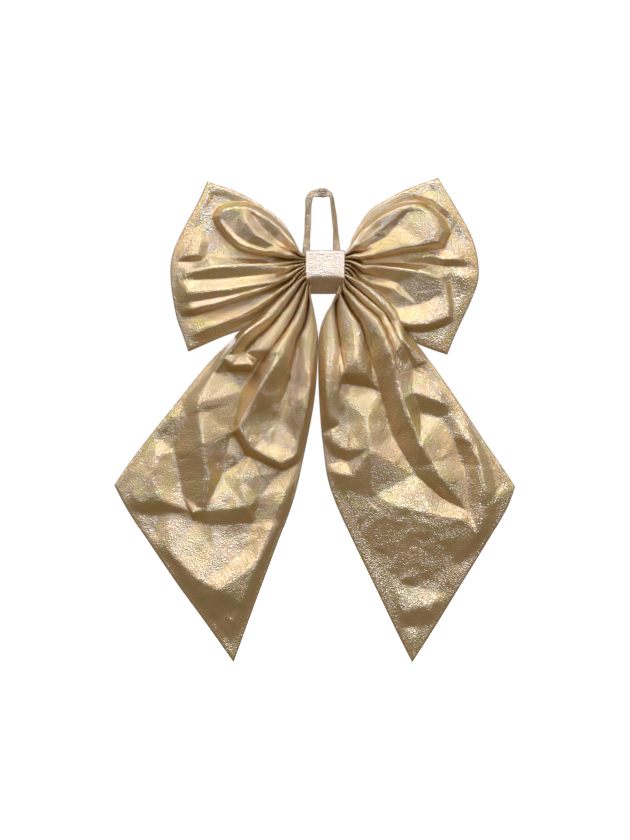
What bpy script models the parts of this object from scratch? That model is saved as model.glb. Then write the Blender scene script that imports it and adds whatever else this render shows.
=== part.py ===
"""A hanging gift bow sewn from gold metallic cloth: two wings, two tails, a knot band and a hanging loop.

The frame: X runs across the bow, -Y is its face, +Y its back and +Z up. The origin is the middle of the
knot band's flat back, which is what lies against a gift, a door or a wall. Lengths below are millimetres.

Each wing and each tail is a turned pouch: a pleated front panel and a flatter back panel that share a seam,
with the seam's thread between them. Both pairs are gathered into bundles that run through the knot band.
"""

import math

import bmesh
import bpy
import numpy as np

MM = 0.001

# The knot band: one folded strip, wound round the bundles and closed over its own end at the back.
BAND_WIDTH = 34.0
BAND_THICK = 1.4
BAND_FRONT_Y = -30.0
BAND_TOP_Z = 15.0
BAND_FACE_LOW_Z = -7.5
BAND_LOW_Y = -8.5
BAND_LOW_Z = -21.0
FLAP_GAP = 2.2
FLAP_TOP_Z = 8.0
BAND_SIDE_X = BAND_WIDTH / 2

# The cloth of the wings and tails, and the sewing thread.
CLOTH_THICK = 0.8
SEAM_GAP = 1.0
THREAD_RADIUS = 0.25
SEAM_INSET = 0.045

# The bundles inside the band, as (front y, back y, low z, high z).
WINGS_BUNDLE = (-26.5, -7.0, -1.8, 12.4)
TAILS_BUNDLE = (-18.5, -7.2, -12.0, -3.0)
BUNDLE_WAIST = 0.86
WAIST_HALF = 3.5
TIE_TURNS = 3

# The joints' lines.
WING_ROOT_X = 18.5
WING_HINGE_X = 17.8
WING_HINGE_Y = -3.0
TAIL_ROOT_Z = -22.4
TAIL_HINGE_Y = -20.6
LOOP_HINGE_Y = -2.6
LOOP_HINGE_Z = 16.4
LOOP_END_TOP_Z = LOOP_HINGE_Z - 0.75

# The hanging loop: a narrow folded strip.
LOOP_WIDTH = 6.0
LOOP_THICK = 1.3
LOOP_ROUTE = [(-15.3, 16.6), (-14.7, 42.0), (-13.6, 58.0), (-9.5, 64.5), (-2.0, 66.0), (3.6, 63.5), (6.2, 56.0),
              (8.0, 42.0), (10.0, 16.6)]
LOOP_END_LOW_Z = -6.0

# Outlines in the bow's plane, as (x, z), each edge from the knot outwards and the far edge from top to bottom.
LEFT_WING = {
    "top": [(-18.5, 14.0), (-37.7, 41.0), (-68.0, 62.6), (-99.5, 73.9)],
    "far": [(-99.5, 73.9), (-118.0, 36.5), (-130.6, -2.0), (-126.5, -37.0), (-115.5, -69.7)],
    "bottom": [(-18.5, -2.2), (-40.0, -22.0), (-62.5, -44.5), (-115.5, -69.7)],
}
RIGHT_WING = {
    "top": [(18.5, 14.0), (37.4, 48.0), (69.3, 67.1), (95.5, 76.9)],
    "far": [(95.5, 76.9), (119.0, 38.0), (129.7, 2.0), (120.0, -33.0), (103.2, -72.2)],
    "bottom": [(18.5, -2.2), (32.0, -11.0), (58.0, -33.0), (76.0, -60.5), (103.2, -72.2)],
}
LEFT_TAIL = {
    "top": [(-33.0, TAIL_ROOT_Z), (-73.3, -53.0), (-126.7, -113.6), (-178.0, -183.6)],
    "far": [(-178.0, -183.6), (-145.2, -236.2), (-76.6, -332.1)],
    "bottom": [(-16.0, TAIL_ROOT_Z), (-7.6, -69.4), (-12.0, -124.7), (-27.2, -196.6), (-76.6, -332.1)],
}
RIGHT_TAIL = {
    "top": [(43.0, TAIL_ROOT_Z), (64.6, -48.5), (101.5, -97.1), (160.5, -182.8)],
    "far": [(160.5, -182.8), (134.7, -235.3), (73.5, -332.3)],
    "bottom": [(13.0, TAIL_ROOT_Z), (-4.4, -52.0), (-3.9, -124.7), (9.4, -198.5), (73.5, -332.3)],
}

# How deep the pouches stand, and how many pleats their front panels have.
WING_SHAPE = {"seam": (-6.5, -10.0, -9.5), "root": 15.0, "puff": 13.0, "back": 3.0, "pleats": 4}
TAIL_SHAPE = {"seam": (-12.0, -14.5, -8.5), "root": 4.6, "puff": 9.0, "back": 2.2, "pleats": 4}
WING_CELLS = (9, 24)
TAIL_CELLS = (13, 24)
BACK_CELLS = (8, 12)

GOLD_CLOTH = ("gold_cloth", (0.74, 0.56, 0.33), 0.36, 1.0)
GOLD_THREAD = ("gold_thread", (0.62, 0.47, 0.25), 0.6, 0.0)


def clear_scene():
    for obj in list(bpy.data.objects):
        bpy.data.objects.remove(obj)


def material(name, colour, roughness, metallic):
    """A node's own material: a Principled BSDF with that colour and finish."""
    made = bpy.data.materials.new(name)
    made.use_nodes = True
    shader = made.node_tree.nodes["Principled BSDF"]
    shader.inputs["Base Color"].default_value = (*colour, 1.0)
    shader.inputs["Roughness"].default_value = roughness
    shader.inputs["Metallic"].default_value = metallic
    return made


def smooth_line(points, count):
    """`count` evenly spaced points on the smooth curve through the given ones."""
    knots = np.array(points, float)
    padded = np.vstack([2 * knots[0] - knots[1], knots, 2 * knots[-1] - knots[-2]])
    fine = [knots[0]]
    for before, start, end, after in zip(padded, padded[1:], padded[2:], padded[3:]):
        for t in np.linspace(0, 1, 25)[1:]:
            pull = (end - before) * t + (2 * before - 5 * start + 4 * end - after) * t * t
            fine.append(start + (pull + (3 * start - before - 3 * end + after) * t**3) / 2)
    fine = np.array(fine)
    along = np.concatenate([[0], np.cumsum(np.linalg.norm(np.diff(fine, axis=0), axis=1))])
    at = np.linspace(0, along[-1], count)
    return np.stack([np.interp(at, along, fine[:, k]) for k in range(knots.shape[1])], axis=1)


def fan(outline, u, v):
    """The (x, z) of a pouch at u, 0 at the knot and 1 at the far edge, and v, 0 at the bottom and 1 at the top."""
    samples = 200
    top, bottom, far = (smooth_line(outline[edge], samples) for edge in ("top", "bottom", "far"))
    far = far[::-1]
    root_low, root_high, far_low, far_high = bottom[0], top[0], far[0], far[-1]
    grid = np.linspace(0, 1, samples)

    def on(line, at):
        return np.stack([np.interp(at, grid, line[:, k]) for k in range(2)], axis=-1)

    u1, v1 = u[..., None], v[..., None]
    sides = (1 - v1) * on(bottom, u) + v1 * on(top, u)
    ends = (1 - u1) * ((1 - v1) * root_low + v1 * root_high) + u1 * on(far, v)
    corners = (1 - u1) * ((1 - v1) * root_low + v1 * root_high) + u1 * ((1 - v1) * far_low + v1 * far_high)
    return sides + ends - corners


def seam_y(shape, u, v):
    """How far back the seam's plane lies: its bottom and top edges at the knot, then its far edge."""
    bottom, top, far = shape["seam"]
    return (bottom * (1 - v) + top * v) * (1 - u) + far * u


def front_height(shape, u, v):
    """How far the front panel stands off the seam's plane: pleats that fan out of the knot and fade outwards."""
    ridge = 0.5 - 0.5 * np.cos(2 * math.pi * shape["pleats"] * v)
    swell = shape["root"] * (1 - u) ** 1.5 + shape["puff"] * np.sin(math.pi * u**0.8)
    return swell * np.sin(math.pi * v) ** 0.6 * (0.4 + 0.6 * ridge)


def back_height(shape, u, v):
    """How far the back panel stands off the seam's plane."""
    return shape["back"] * np.sin(math.pi * v) ** 0.6 * np.minimum(1, 4 * (1 - u)) ** 0.5


def place(obj, look, parent):
    obj.data.materials.append(material(f"{obj.name}_{look[0]}", *look[1:]))
    obj.parent = parent
    obj.matrix_parent_inverse = parent.matrix_world.inverted()
    return obj


def mesh_object(name, bm, look, parent):
    bmesh.ops.recalc_face_normals(bm, faces=bm.faces)
    mesh = bpy.data.meshes.new(name)
    bm.to_mesh(mesh)
    bm.free()
    mesh.shade_smooth()
    mesh.set_sharp_from_angle(angle=math.radians(35))
    obj = bpy.data.objects.new(name, mesh)
    bpy.context.scene.collection.objects.link(obj)
    return place(obj, look, parent)


def panel(name, outline, shape, side, cells, parent):
    """One panel of a pouch: a sheet of cells, extruded to the cloth's thickness. side is -1 in front, 1 behind."""
    u, v = np.meshgrid(np.linspace(0, 1, cells[0] + 1), np.linspace(0, 1, cells[1] + 1), indexing="ij")
    xz = fan(outline, u, v)
    height = front_height(shape, u, v) if side < 0 else back_height(shape, u, v)
    y = seam_y(shape, u, v) + side * (SEAM_GAP / 2 + height)
    bm = bmesh.new()
    verts = [
        [bm.verts.new((xz[i, j, 0] * MM, y[i, j] * MM, xz[i, j, 1] * MM)) for j in range(cells[1] + 1)]
        for i in range(cells[0] + 1)
    ]
    for i in range(cells[0]):
        for j in range(cells[1]):
            bm.faces.new((verts[i][j], verts[i + 1][j], verts[i + 1][j + 1], verts[i][j + 1]))
    made = bmesh.ops.extrude_face_region(bm, geom=bm.faces[:])
    moved = [item for item in made["geom"] if isinstance(item, bmesh.types.BMVert)]
    bmesh.ops.translate(bm, verts=moved, vec=(0, side * CLOTH_THICK * MM, 0))
    return mesh_object(name, bm, GOLD_CLOTH, parent)


def strip(name, route, thickness, low, high, to_world, parent):
    """A solid of constant thickness along a route in a plane, as wide as low to high across that plane."""
    line = np.array(route, float)
    ahead = np.gradient(line, axis=0)
    ahead /= np.linalg.norm(ahead, axis=1)[:, None]
    aside = np.stack([-ahead[:, 1], ahead[:, 0]], axis=1) * thickness / 2
    outline = np.vstack([line + aside, (line - aside)[::-1]])
    count = len(outline)
    bm = bmesh.new()
    rings = [[bm.verts.new([c * MM for c in to_world(a, b, at)]) for a, b in outline] for at in (low, high)]
    half = len(line)
    for k in range(count):
        after = (k + 1) % count
        bm.faces.new((rings[0][k], rings[0][after], rings[1][after], rings[1][k]))
    for ring in rings:
        for k in range(half - 1):
            bm.faces.new((ring[k], ring[k + 1], ring[count - 2 - k], ring[count - 1 - k]))
    return mesh_object(name, bm, GOLD_CLOTH, parent)


def loft(name, rings, look, parent):
    """A closed solid through rings of equal counts of points."""
    bm = bmesh.new()
    made = [[bm.verts.new([c * MM for c in point]) for point in ring] for ring in rings]
    for low, high in zip(made, made[1:]):
        for k in range(len(low)):
            after = (k + 1) % len(low)
            bm.faces.new((low[k], low[after], high[after], high[k]))
    for ring in (made[0], made[-1]):
        bm.faces.new(ring)
    return mesh_object(name, bm, look, parent)


def thread(name, points, parent, radius=THREAD_RADIUS):
    """A round thread along a list of points."""
    curve = bpy.data.curves.new(name, "CURVE")
    curve.dimensions = "3D"
    curve.bevel_depth = radius * MM
    curve.bevel_resolution = 1
    curve.use_fill_caps = True
    spline = curve.splines.new("POLY")
    spline.points.add(len(points) - 1)
    for spot, point in zip(spline.points, points):
        spot.co = (*[c * MM for c in point], 1.0)
    obj = bpy.data.objects.new(name, curve)
    bpy.context.scene.collection.objects.link(obj)
    return place(obj, GOLD_THREAD, parent)


def body_empty(name, location):
    """The parent of a body's pieces, on the line of the joint that moves them."""
    empty = bpy.data.objects.new(name, None)
    empty.location = [c * MM for c in location]
    bpy.context.scene.collection.objects.link(empty)
    bpy.context.view_layer.update()
    return empty


def pleated_ring(across, along, half_across, half_deep, centre_y, ripples=7, ripple=0.05, count=42):
    """The outline of a gathered bundle: a rounded rectangle with rippled folds, as points of a ring."""
    ring = []
    for k in range(count):
        turn = 2 * math.pi * k / count
        c, s = math.cos(turn), math.sin(turn)
        reach = (abs(c) ** 4 + abs(s) ** 4) ** -0.25 * (1 - ripple + ripple * math.cos(ripples * 2 * turn))
        ring.append(along + across * (c * reach * half_across) + np.array([0, centre_y + s * reach * half_deep, 0]))
    return ring


def bundle_ring(x, bundle, scale):
    front, back, low, high = bundle
    middle = np.array([x, 0, (low + high) / 2])
    return pleated_ring(np.array([0, 0, 1.0]), middle, scale * (high - low) / 2, scale * (back - front) / 2,
                        (front + back) / 2)


def waisted(bundle, half_length):
    """Rings of a bundle along X, narrowed in the middle where its tie goes round."""
    stops = (-half_length, -WAIST_HALF - 3, -WAIST_HALF, WAIST_HALF, WAIST_HALF + 3, half_length)
    return [bundle_ring(x, bundle, BUNDLE_WAIST if abs(x) <= WAIST_HALF else 1.0) for x in stops]


def neck_ring(inner, outer, front, back):
    """A ring of the tails' gather between two points of the bow's plane."""
    inner, outer = (np.array([x, 0, z]) for x, z in (inner, outer))
    across = (outer - inner) / np.linalg.norm(outer - inner)
    return pleated_ring(across, (inner + outer) / 2, np.linalg.norm(outer - inner) / 2, (back - front) / 2,
                        (front + back) / 2)


def tie(name, bundle, parent):
    """The tie thread: a few turns round a bundle's waist."""
    front, back, low, high = bundle
    per_turn = 20
    clear = THREAD_RADIUS + 0.35
    points = []
    for k in range(TIE_TURNS * per_turn + 1):
        turn = 2 * math.pi * k / per_turn
        c, s = math.cos(turn), math.sin(turn)
        reach = (abs(c) ** 4 + abs(s) ** 4) ** -0.25
        points.append((
            (k / per_turn - TIE_TURNS / 2) * 3 * THREAD_RADIUS,
            (front + back) / 2 + s * reach * (BUNDLE_WAIST * (back - front) / 2 + clear),
            (low + high) / 2 + c * reach * (BUNDLE_WAIST * (high - low) / 2 + clear),
        ))
    return thread(name, points, parent)


def seam_thread(name, outline, shape, parent):
    """The thread of a pouch's seam, just inside its edge and round its two free corners."""
    near, steps = 0.06, 14
    out = np.linspace(near, 1 - SEAM_INSET, steps)
    down = np.linspace(1 - SEAM_INSET, SEAM_INSET, steps)[1:-1]
    u = np.concatenate([out, np.full(len(down), 1 - SEAM_INSET), out[::-1]])
    v = np.concatenate([np.full(steps, 1 - SEAM_INSET), down, np.full(steps, SEAM_INSET)])
    xz = fan(outline, u, v)
    y = seam_y(shape, u, v)
    return thread(name, list(zip(xz[:, 0], y, xz[:, 1])), parent)


def make_pouch(name, outline, shape, cells, parent):
    panel(f"{name}_front_panel", outline, shape, -1, cells, parent)
    panel(f"{name}_back_panel", outline, shape, 1, BACK_CELLS, parent)
    seam_thread(f"{name}_seam_thread", outline, shape, parent)


def rounded(corners, radius=2.2, steps=4):
    """An open line with its inner corners rounded."""
    line = [np.array(corners[0], float)]
    for before, corner, after in zip(corners, corners[1:], corners[2:]):
        before, corner, after = (np.array(p, float) for p in (before, corner, after))
        into = corner + (before - corner) / np.linalg.norm(before - corner) * radius
        out = corner + (after - corner) / np.linalg.norm(after - corner) * radius
        for t in np.linspace(0, 1, steps):
            line.append((1 - t) ** 2 * into + 2 * t * (1 - t) * corner + t * t * out)
    line.append(np.array(corners[-1], float))
    return line


def make_band(parent):
    """The band is wound from behind, up over the top, down the face, back underneath and up over its own start."""
    half = BAND_THICK / 2
    inner_back = -FLAP_GAP - BAND_THICK - half
    corners = [
        (inner_back, -10.0),
        (inner_back, BAND_TOP_Z - half),
        (BAND_FRONT_Y + half, BAND_TOP_Z - half),
        (BAND_FRONT_Y + half, BAND_FACE_LOW_Z),
        (BAND_LOW_Y, BAND_LOW_Z + half),
        (-half, BAND_LOW_Z + 5.0),
        (-half, FLAP_TOP_Z),
    ]
    return strip("knot_band", rounded(corners), BAND_THICK, -BAND_SIDE_X, BAND_SIDE_X,
                 lambda y, z, x: (x, y, z), parent)


def make_knot(parent):
    make_band(parent)
    stitch = [(x, -1.0, FLAP_TOP_Z + 0.85 + 0.3 * (k % 2)) for k, x in enumerate(np.arange(-15, 15.5, 1.5))]
    thread("band_closing_thread", stitch, parent)
    loft("wings_gather", waisted(WINGS_BUNDLE, BAND_SIDE_X + 0.2), GOLD_CLOTH, parent)
    tie("wings_gather_tie", WINGS_BUNDLE, parent)
    make_tails_gather(parent)
    tie("tails_gather_tie", TAILS_BUNDLE, parent)
    for side, x in (("left", LOOP_ROUTE[0][0]), ("right", LOOP_ROUTE[-1][0])):
        end_y = LOOP_HINGE_Y
        strip(f"{side}_loop_end", [(x, LOOP_END_LOW_Z), (x, 5.0), (x, LOOP_END_TOP_Z)], LOOP_WIDTH,
              end_y - LOOP_THICK / 2, end_y + LOOP_THICK / 2, lambda x, z, y: (x, y, z), parent)
        tack_y = end_y + LOOP_THICK / 2 + THREAD_RADIUS + 0.1
        tack = [(x + dx, tack_y, FLAP_TOP_Z + 4.0 + 0.8 * (k % 2)) for k, dx in enumerate((-2.4, -1.2, 0, 1.2, 2.4))]
        thread(f"{side}_loop_tack", tack, parent)


def make_tails_gather(parent):
    """The tails' bundle, with a neck at each side that turns down out of the band."""
    front, back, _, _ = TAILS_BUNDLE
    root_z = TAIL_ROOT_Z + 0.5
    left = [
        neck_ring((LEFT_TAIL["bottom"][0][0], root_z), (LEFT_TAIL["top"][0][0], root_z), TAIL_HINGE_Y, -10.5),
        neck_ring((-18.2, -19.4), (-26.6, -13.6), TAIL_HINGE_Y, -9.5),
    ]
    right = [
        neck_ring((18.2, -19.4), (30.4, -14.2), TAIL_HINGE_Y, -9.5),
        neck_ring((RIGHT_TAIL["bottom"][0][0], root_z), (RIGHT_TAIL["top"][0][0], root_z), TAIL_HINGE_Y, -10.5),
    ]
    loft("tails_gather", left + waisted(TAILS_BUNDLE, BAND_SIDE_X + 0.6) + right, GOLD_CLOTH, parent)


def main():
    clear_scene()
    knot = body_empty("knot", (0, 0, 0))
    make_knot(knot)
    loop = body_empty("hanging_loop", (0, LOOP_HINGE_Y, LOOP_HINGE_Z))
    strip("hanging_loop_strip", smooth_line(LOOP_ROUTE, 30), LOOP_WIDTH, LOOP_HINGE_Y - LOOP_THICK / 2,
          LOOP_HINGE_Y + LOOP_THICK / 2, lambda x, z, y: (x, y, z), loop)
    for name, outline, side in (("left_wing", LEFT_WING, -1), ("right_wing", RIGHT_WING, 1)):
        body = body_empty(name, (side * WING_HINGE_X, WING_HINGE_Y, 0))
        make_pouch(name, outline, WING_SHAPE, WING_CELLS, body)
    for name, outline in (("left_tail", LEFT_TAIL), ("right_tail", RIGHT_TAIL)):
        body = body_empty(name, (0, TAIL_HINGE_Y, TAIL_ROOT_Z))
        make_pouch(name, outline, TAIL_SHAPE, TAIL_CELLS, body)


main()
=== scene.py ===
"""The looks of a gold cloth gift bow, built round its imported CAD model.

Each wing and each tail is two sheets of cloth. A sheet starts as its fold design: fold lines that leave the
knot, with pleats between them just deep enough to take up the strip's width, and creases laid over them. A
position-based cloth solver then relaxes the design as cloth, at nearly the design's own lengths.
Lengths in the tables are millimetres in the bow's own frame: X across, -Y the face, +Z up.
"""

import math

import bmesh
import bpy
import numpy as np
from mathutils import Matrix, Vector
from mathutils.geometry import delaunay_2d_cdt


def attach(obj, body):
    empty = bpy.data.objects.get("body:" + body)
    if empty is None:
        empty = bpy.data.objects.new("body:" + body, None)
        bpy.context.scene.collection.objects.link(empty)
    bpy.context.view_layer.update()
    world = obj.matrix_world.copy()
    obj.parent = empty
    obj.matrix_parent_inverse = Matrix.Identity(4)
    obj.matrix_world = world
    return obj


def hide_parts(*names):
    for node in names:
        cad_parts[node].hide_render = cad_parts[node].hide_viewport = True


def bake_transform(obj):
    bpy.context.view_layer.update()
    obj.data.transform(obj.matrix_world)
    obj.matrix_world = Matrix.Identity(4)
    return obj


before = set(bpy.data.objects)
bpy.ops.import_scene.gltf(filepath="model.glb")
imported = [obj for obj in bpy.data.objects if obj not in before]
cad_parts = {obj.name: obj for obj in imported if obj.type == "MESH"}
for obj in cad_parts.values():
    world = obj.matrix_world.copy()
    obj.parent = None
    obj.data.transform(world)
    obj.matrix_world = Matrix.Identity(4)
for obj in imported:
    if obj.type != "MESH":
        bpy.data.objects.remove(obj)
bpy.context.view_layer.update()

MM = 0.001

# The wings' outlines: each edge from the knot outwards, and the far edge from top to bottom, as (x, z).
LEFT_WING_EDGES = {
    "top": [(-13, 12), (-20.8, 14.5), (-27.3, 26.8), (-37.7, 41.1), (-54.7, 54.1), (-74.1, 65),
        (-99.5, 73.9)],
    "far": [(-99.5, 73.9), (-107.9, 55.4), (-117.1, 38.5), (-124.9, 23), (-129.5, 9.9), (-130.7, -1.8),
        (-129.9, -14.9), (-128, -27.9), (-125, -42.2), (-120.4, -55.2), (-115.5, -69.7)],
    "bottom": [(-13, -2.4), (-20, -7.2), (-40, -28.5), (-62.5, -47.5), (-87.1, -57.4), (-115.5, -69.7)],
}
RIGHT_WING_EDGES = {
    "top": [(13, 12), (19, 16.5), (24.9, 30.1), (37.4, 48.9), (52.2, 58.5), (69.3, 67.5), (95.5, 76.9)],
    "far": [(95.5, 76.9), (104.6, 62), (113.6, 46.6), (121.6, 32.3), (126.7, 18.7), (129.6, 3.9), (129, -11),
        (122.8, -28), (115.9, -42.8), (109.1, -57.6), (103.2, -72.2)],
    "bottom": [(13, -2.8), (20, -6.6), (40, -28), (56, -49), (72.7, -60.3), (87.5, -66.9), (103.2, -72.2)],
}

# The tails' outlines: "top" is the outer edge and "bottom" the inner one.
LEFT_TAIL_EDGES = {
    "top": [(-13.5, -5), (-22, -8.5), (-38, -24), (-54.7, -40), (-73.3, -54.5), (-99.1, -80.6),
        (-126.7, -114.6), (-147, -139.9), (-163.6, -161.5), (-178, -182.6)],
    "far": [(-178, -182.6), (-165.4, -205.8), (-145.2, -236.2), (-123.1, -268.5), (-102.8, -296.1),
        (-77.2, -332.1)],
    "bottom": [(-9.5, -14), (-12.4, -20.1), (-9.3, -36), (-6.4, -55), (-6.6, -69.4), (-8.2, -97.1),
        (-11.6, -124.7), (-18, -157.9), (-27.2, -196.6), (-43.8, -241.2), (-62.2, -290.7), (-77.2, -332.1)],
}
RIGHT_TAIL_EDGES = {
    "top": [(13, -4), (20, -5.5), (38.3, -15.3), (54, -28.5), (62, -40.4), (68.3, -51.7), (83.1, -70.7),
        (101.5, -96.1), (119.9, -123.2), (134.7, -145.8), (149.4, -167), (160.5, -183.8)],
    "far": [(160.5, -183.8), (153.1, -203), (134.7, -234.3), (112.5, -270.3), (90.4, -306.2), (73.5, -332.3)],
    "bottom": [(9.5, -14), (11.9, -19.4), (6.7, -28), (-0.2, -39.4), (-4.9, -56), (-5.5, -87.9), (-4, -124.7),
        (-1.3, -152.4), (2.2, -176.5), (9.4, -198.5), (24.1, -230.8), (42.5, -268.8), (60.9, -307.3),
        (73.5, -332.3)],
}

# The fold lines of each sheet, from its bottom or inner edge to the other one: how far each stands towards
# the face, near 0 for the valleys between pleats, and its (x, z) from the knot outwards.
LEFT_WING_FOLDS = [
    (0.12, [(-18, -5.6), (-46, -29), (-72, -46), (-96, -57)]),
    (0, [(-18, -4.9), (-48, -26.6), (-78, -44.5), (-100, -53)]),
    (0.75, [(-18, -4), (-50, -24), (-82, -40), (-106, -47.6)]),
    (0, [(-18, -2.6), (-48, -15.5), (-74, -26.4), (-112, -36.5)]),
    (1, [(-18, -1.4), (-46, -10), (-72, -18.7), (-100, -26), (-121, -29.8)]),
    (0.1, [(-18, 0.4), (-50, -7), (-80, -12.5), (-104, -15)]),
    (0.9, [(-18, 2.4), (-50, -0.2), (-86, -2.2), (-117, -3.4)]),
    (0, [(-18, 3.4), (-50, 2.2), (-86, 1.2), (-120, 0.8)]),
    (0.55, [(-18, 4.4), (-50, 4.8), (-86, 5.8), (-128, 6.8)]),
    (0, [(-18, 5.6), (-45, 10.8), (-68, 13.6), (-84, 23), (-93, 38)]),
    (1.3, [(-18, 6.8), (-45, 14.6), (-64, 18.6), (-78, 28), (-89, 42)]),
    (0.35, [(-18, 8.6), (-42, 20), (-62, 30), (-80, 38)]),
    (1.15, [(-18, 11), (-36, 31.5), (-58, 46.5), (-74, 50.5), (-87, 47.5)]),
    (0, [(-18, 12.2), (-35, 35.5), (-57, 51.5), (-75, 56), (-91, 53)]),
]
RIGHT_WING_FOLDS = [
    (0.12, [(18, -5.6), (30, -18.5), (48, -36), (62, -50), (88, -57)]),
    (0, [(18, -4.9), (31, -17.4), (49, -33.5), (64, -48), (96, -48)]),
    (0.6, [(18, -4), (32, -16), (50, -31), (66, -46.5), (102, -42.5)]),
    (0, [(18, -2.6), (34, -11.5), (52, -25), (70, -38.5), (104, -36)]),
    (0.35, [(18, -1), (36, -6.5), (52, -14), (72, -22)]),
    (0.1, [(18, 0), (38, -3.8), (56, -8), (78, -13)]),
    (1.2, [(18, 0.8), (44, -1), (64, -2.8), (84, -9), (101, -17.5)]),
    (0, [(18, 3.4), (40, 4), (64, 5), (96, 6.5), (112, 7)]),
    (1, [(18, 6.2), (44, 11), (70, 15.5), (95, 19.5), (110, 22)]),
    (0.35, [(18, 8.6), (42, 17), (66, 25), (88, 29)]),
    (1.3, [(18, 10.6), (36, 31), (54, 43), (73, 48), (90, 40), (99, 28)]),
    (0, [(18, 12), (34, 36), (52, 50.5), (75, 55.5), (95, 46), (105, 31)]),
]
LEFT_TAIL_FOLDS = [
    (0.9, [(-12.5, -19), (-14.5, -62), (-13, -96), (-19.5, -128), (-25, -154)]),
    (0, [(-13.6, -17), (-24.5, -60), (-30, -91.7), (-40, -119.8), (-51, -138)]),
    (1.3, [(-14.6, -15), (-35.7, -62), (-52.9, -93.7), (-65.9, -115.8), (-73, -135)]),
    (0, [(-15.8, -13), (-44, -66), (-62, -92), (-74, -118), (-88, -164), (-98, -200)]),
    (0.9, [(-16.6, -12), (-54, -66), (-74, -99), (-85, -134), (-98, -168), (-106, -204)]),
    (0.1, [(-17.4, -10), (-62, -62), (-90, -104), (-108, -140), (-122, -180), (-128, -200)]),
    (1, [(-18.2, -8), (-66, -56), (-89, -84), (-112, -118), (-123, -148), (-132, -180)]),
]
RIGHT_TAIL_FOLDS = [
    (0.9, [(11.5, -20), (3.4, -45), (4.6, -71.6), (8.5, -95), (7.2, -138)]),
    (0, [(12.5, -19), (10, -45), (14, -72), (19, -98), (26, -128)]),
    (0.8, [(14, -18), (23.5, -45), (26.5, -62), (29, -92)]),
    (0, [(15.2, -16), (30, -46), (38, -72), (43, -104), (48, -130)]),
    (1.2, [(16.4, -15), (36, -38), (49, -57), (53.2, -100.4), (58.8, -134.4), (71.8, -152)]),
    (0, [(17.2, -13), (44, -40), (57, -66), (66, -122), (76, -152), (96, -180)]),
    (0.7, [(18, -11), (50, -38), (62, -64), (72, -116), (84, -142), (97, -165), (116, -174)]),
    (0.1, [(18, -9), (56, -46), (76, -84), (94, -120), (112, -146)]),
    (0.8, [(20, -7), (62, -50), (92, -87), (106, -118), (124, -133), (131, -156), (130, -190), (124, -216)]),
]

# Ridges and valleys laid over the pleats, with flat facets between them: x, z and height towards the face.
LEFT_WING_CREASES = [
    [(-22, 16, 1.5), (-31, 25, 5), (-43, 39, 8), (-55, 48.6, 9.6), (-67, 52, 9.6), (-76.4, 51.6, 8.6),
     (-86.5, 49, 7.6), (-89.6, 44, 7.4), (-86.6, 36.5, 8.2), (-80, 28.4, 9), (-71.5, 20.8, 9.6),
     (-65.5, 17.8, 9.6), (-49, 13.8, 8.6), (-30, 9.8, 5), (-21, 7.6, 1)],
    [(-68, 51, 9.4), (-66, 38, 11.5), (-58, 28, 10.5), (-42, 18.8, 7.4), (-28, 12.6, 4)],
    [(-83, 36.5, 5.6), (-75, 27.5, 6), (-66, 21.8, 6.2), (-50, 16.4, 5.4)],
    [(-60, 44, 6), (-52, 33, 4.8), (-40, 23.4, 3.8), (-28, 15.6, 2)],
    [(-80, 46, 6.4), (-74, 42, 7)],
    [(-24, 21, -0.6), (-33, 33, -1.4), (-44, 45, -1.8), (-56, 53.5, -1.8), (-68, 57, -1.8), (-80, 56, -1.6),
     (-90, 53, -1.4), (-94.5, 44, -1), (-90.5, 34, -0.8), (-83, 25, -0.6), (-74, 16.6, -0.4), (-66, 14, -0.2),
     (-49, 10.8, 0), (-30, 7.8, 0)],
    [(-96, 58, -1.6), (-84, 64, -1.4)],
    [(-98, 64, 0.3), (-106, 48, 0.8)],
    [(-103, 36, 1), (-105.5, 22, 4), (-107.5, 11, 5.6), (-120, 9.6, 3.6), (-127, 9, 1)],
    [(-98.5, 24, 0.6), (-100, 12, 0.4), (-80, 9.5, 0.2), (-56, 8, 0)],
    [(-126, 6, 0.6), (-104, 6.6, 0.2)],
    [(-22, 3.6, 1), (-40, 3.4, 4.6), (-64, 2.7, 6.8), (-94.6, 0.6, 6.6), (-116, -3.4, 5), (-123.2, -9, 4.4),
     (-126.6, -17, 4), (-127, -24, 4), (-125.5, -30, 4.6), (-119.5, -35.6, 6.2), (-111, -35, 8.2),
     (-94.6, -30.6, 9.6), (-64, -20.8, 9.2), (-40, -11.6, 6.4), (-24, -5.4, 1.6)],
    [(-116, -20, 7.6), (-98, -19.2, 8.6), (-80, -18, 8.6), (-50, -12.4, 7), (-30, -6.6, 4)],
    [(-108, -10, 2.6), (-80, -8.6, 3.2), (-50, -4.6, 2.8), (-30, -1.4, 1.8)],
    [(-112, -29, 5.2), (-80, -23.4, 5.4), (-50, -15.4, 4.6)],
    [(-26, -8.2, 0.3), (-40, -14.6, 0.2), (-64, -24.2, 0.2), (-94.6, -34.4, 0), (-111, -39.2, 0),
     (-123, -40, 0.2)],
    [(-26, -10.4, 2.4), (-40, -20.5, 5.6), (-56, -31.5, 7.2), (-74, -41.5, 7), (-92, -49, 5.4),
     (-106, -54, 3.2)],
    [(-58, -41, 1.2), (-84, -53.5, 1.4), (-106, -62, 0.8)],
]
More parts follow.
